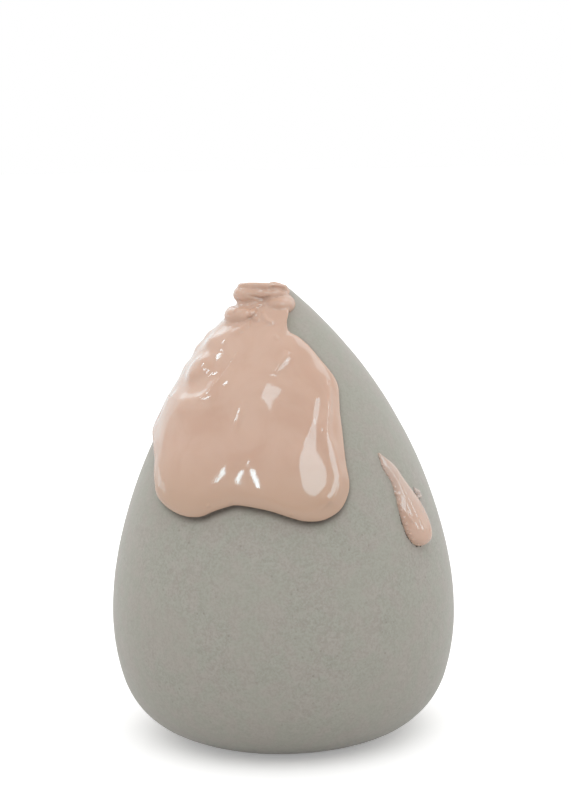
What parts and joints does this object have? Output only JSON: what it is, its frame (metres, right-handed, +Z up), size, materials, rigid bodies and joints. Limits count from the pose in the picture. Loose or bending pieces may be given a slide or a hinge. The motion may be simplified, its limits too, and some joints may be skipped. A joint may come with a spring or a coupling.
{
  "type": "makeup sponge",
  "caption": "Egg-shaped foam makeup sponge with a blunt tip and a small flat base, with liquid foundation folded on its tip, pooled down its front and run to a drip.",
  "frame": {"origin": "middle of the flat base that the sponge stands on", "axes": "+Z up through the tip, -Y towards the side that the foundation runs down, +X towards the side with the drip"},
  "size_m": [0.046, 0.046, 0.0604],
  "materials": {
    "foam": "matt fine-celled grey polyurethane foam",
    "foundation": "wet glossy beige liquid foundation"
  },
  "bodies": {
    "root": {"sponge_body": "foam", "foundation_folds": "foundation", "foundation_pool": "foundation", "foundation_drip": "foundation", "foundation_fleck": "foundation"}
  },
  "joints": []
}
